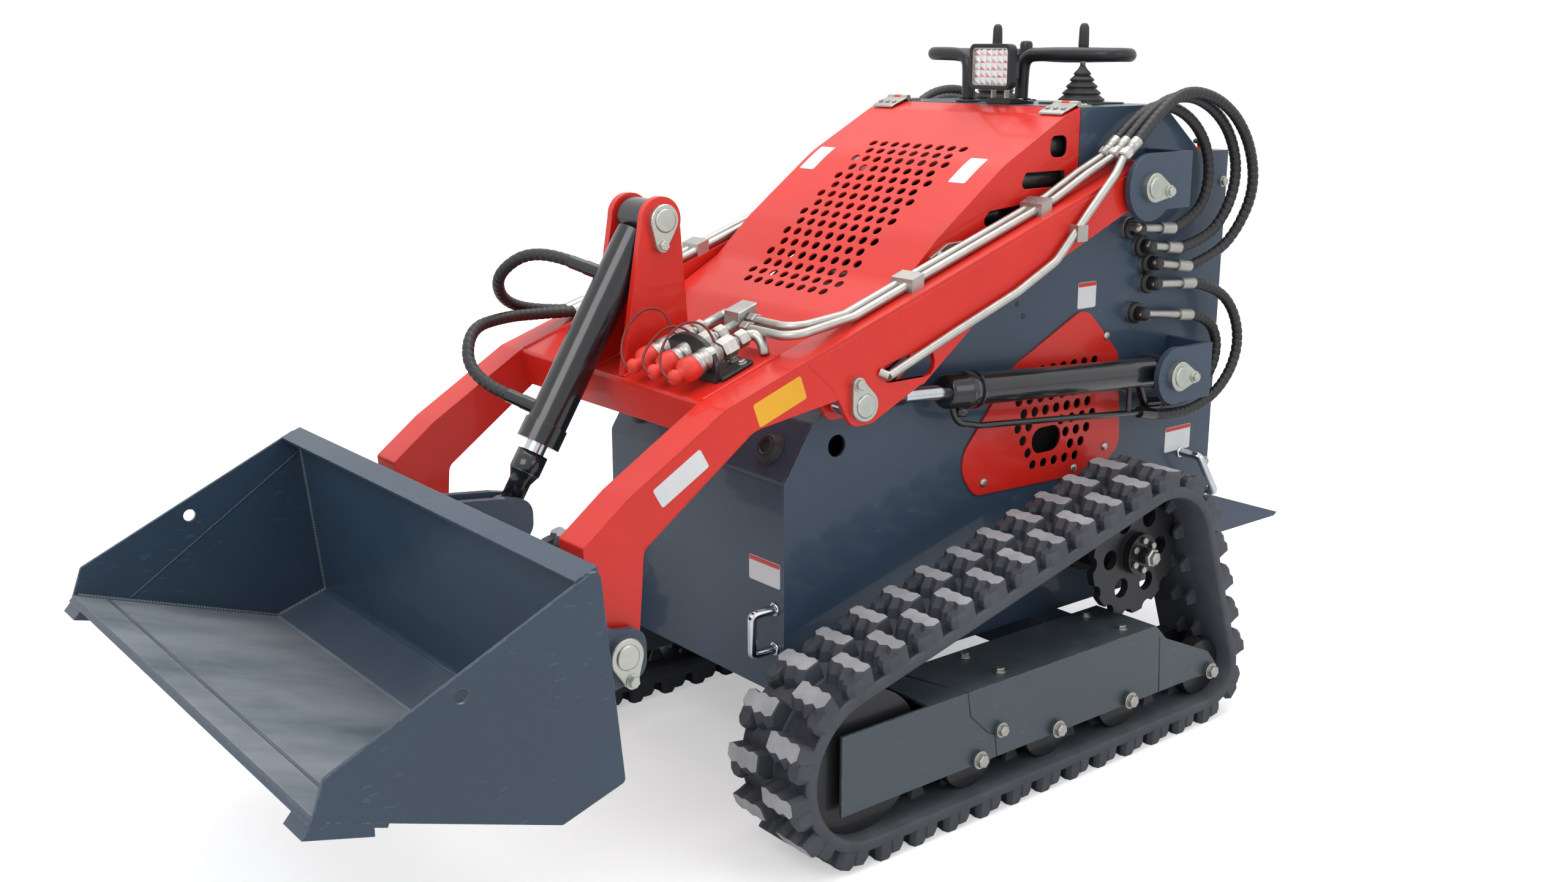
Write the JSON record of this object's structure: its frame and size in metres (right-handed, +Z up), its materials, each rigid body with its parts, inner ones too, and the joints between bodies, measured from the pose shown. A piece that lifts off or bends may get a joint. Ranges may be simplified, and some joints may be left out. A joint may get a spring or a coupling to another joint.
{
  "type": "mini skid steer loader",
  "caption": "Stand-on tracked mini loader with lift arms, mast, tilting bucket, hinged hood and a rear platform for its operator.",
  "frame": {"origin": "on the ground under the middle of the machine's bounding box", "axes": "+X to the machine's left side, +Y to the rear, +Z up; the bucket is at -Y"},
  "size_m": [1.05, 2.478, 1.399],
  "materials": {
    "red_paint": "gloss",
    "slate_paint": "satin",
    "black_paint": "satin",
    "cast_iron": "rough",
    "track_rubber": "matt",
    "black_rubber": "matt",
    "hose": "spiral wrapped",
    "zinc": "bright zinc",
    "cylinder_black": "gloss",
    "chrome": "polished"
  },
  "bodies": {
    "chassis": {"belly_plate": "slate_paint", "bulkhead_fittings": "zinc", "control_levers": "black_rubber", "crossmembers": "slate_paint", "cylinder_bracket_left": "slate_paint", "cylinder_bracket_right": "slate_paint", "deck": "slate_paint", "engine_block": "cast_iron", "front_plate": "slate_paint", "handlebars": "black_paint", "hood_hinges": "zinc", "hose_arm_left_1": "hose", "hose_arm_left_2": "hose", "hose_arm_left_3": "hose", "hose_arm_right_1": "hose", "hose_arm_right_2": "hose", "hose_lift_left_1": "hose", "hose_lift_left_2": "hose", "hose_lift_right_1": "hose", "hose_lift_right_2": "hose", "nose_plugs": "black_rubber", "pivot_bracket_left": "slate_paint", "pivot_bracket_right": "slate_paint", "platform": "slate_paint", "rear_panel": "slate_paint", "rollers_left": "black_paint", "rollers_right": "black_paint", "side_cover_left": "red_paint", "side_cover_right": "red_paint", "side_plate_left": "slate_paint", "side_plate_right": "slate_paint", "sprocket_left": "black_paint", "sprocket_right": "black_paint", "tie_handles": "zinc", "track_frame_left": "slate_paint", "track_frame_right": "slate_paint", "track_left": "track_rubber", "track_right": "track_rubber", "work_light": "black_paint"},
    "hood": {"hood": "red_paint"},
    "arms": {"arm_left": "red_paint", "arm_right": "red_paint", "arm_tubes_left": "zinc", "arm_tubes_right": "zinc", "couplers": "zinc", "cross_plate": "red_paint", "hose_tilt_1": "hose", "hose_tilt_2": "hose", "mast": "red_paint"},
    "lift_barrel_left": {"lift_barrel_left": "cylinder_black"},
    "lift_barrel_right": {"lift_barrel_right": "cylinder_black"},
    "lift_rod_left": {"lift_rod_left": "chrome"},
    "lift_rod_right": {"lift_rod_right": "chrome"},
    "tilt_barrel": {"tilt_barrel": "cylinder_black"},
    "tilt_rod": {"tilt_rod": "chrome"},
    "bucket": {"bucket": "slate_paint", "cutting_edge": "slate_paint", "hitch_plate": "slate_paint"}
  },
  "joints": [
    {"name": "hood_hinge", "type": "hinge", "parent": "chassis", "child": "hood", "pos_m": [0, 0.461, 1.246], "axis": [-1, 0, 0], "range_deg": [0, 60]},
    {"name": "arm_lift", "type": "hinge", "parent": "chassis", "child": "arms", "pos_m": [0, 0.552, 1.092], "axis": [-1, 0, 0], "range_deg": [-10, 58], "deforming": ["hose_arm_left_1", "hose_arm_left_2", "hose_arm_left_3", "hose_arm_right_1", "hose_arm_right_2"]},
    {"name": "bucket_tilt", "type": "hinge", "parent": "arms", "child": "bucket", "pos_m": [0, -0.663, 0.45], "axis": [1, 0, 0], "range_deg": [-3, 68]},
    {"name": "lift_cylinder_swing_left", "type": "hinge", "parent": "chassis", "child": "lift_barrel_left", "pos_m": [0.32, 0.667, 0.711], "axis": [-1, 0, 0], "range_deg": [-7.49, 43.41], "deforming": ["hose_lift_left_1", "hose_lift_left_2"]},
    {"name": "lift_cylinder_stroke_left", "type": "slide", "parent": "lift_barrel_left", "child": "lift_rod_left", "axis": [0, -0.9977, 0.0673], "range_m": [-0.05306, 0.30678]},
    {"name": "lift_cylinder_swing_right", "type": "hinge", "parent": "chassis", "child": "lift_barrel_right", "pos_m": [-0.32, 0.667, 0.711], "axis": [-1, 0, 0], "range_deg": [-7.49, 43.41], "deforming": ["hose_lift_right_1", "hose_lift_right_2"]},
    {"name": "lift_cylinder_stroke_right", "type": "slide", "parent": "lift_barrel_right", "child": "lift_rod_right", "axis": [0, -0.9977, 0.0673], "range_m": [-0.05306, 0.30678]},
    {"name": "tilt_cylinder_swing", "type": "hinge", "parent": "arms", "child": "tilt_barrel", "pos_m": [0, -0.357, 1.065], "axis": [-1, 0, 0], "range_deg": [-0.32, 6.99], "deforming": ["hose_tilt_1", "hose_tilt_2"]},
    {"name": "tilt_cylinder_stroke", "type": "slide", "parent": "tilt_barrel", "child": "tilt_rod", "axis": [0, -0.5251, -0.8511], "range_m": [-0.00577, 0.12634]}
  ],
  "couplings": [
    {"joint": "lift_cylinder_swing_left", "follows": "arm_lift", "ratio": 0.74827},
    {"joint": "lift_cylinder_stroke_left", "follows": "arm_lift", "m_per_rad": 0.30285},
    {"joint": "lift_cylinder_swing_right", "follows": "arm_lift", "ratio": 0.74827},
    {"joint": "lift_cylinder_stroke_right", "follows": "arm_lift", "m_per_rad": 0.30285},
    {"joint": "tilt_cylinder_swing", "follows": "bucket_tilt", "ratio": 0.10269},
    {"joint": "tilt_cylinder_stroke", "follows": "bucket_tilt", "m_per_rad": 0.10629}
  ]
}
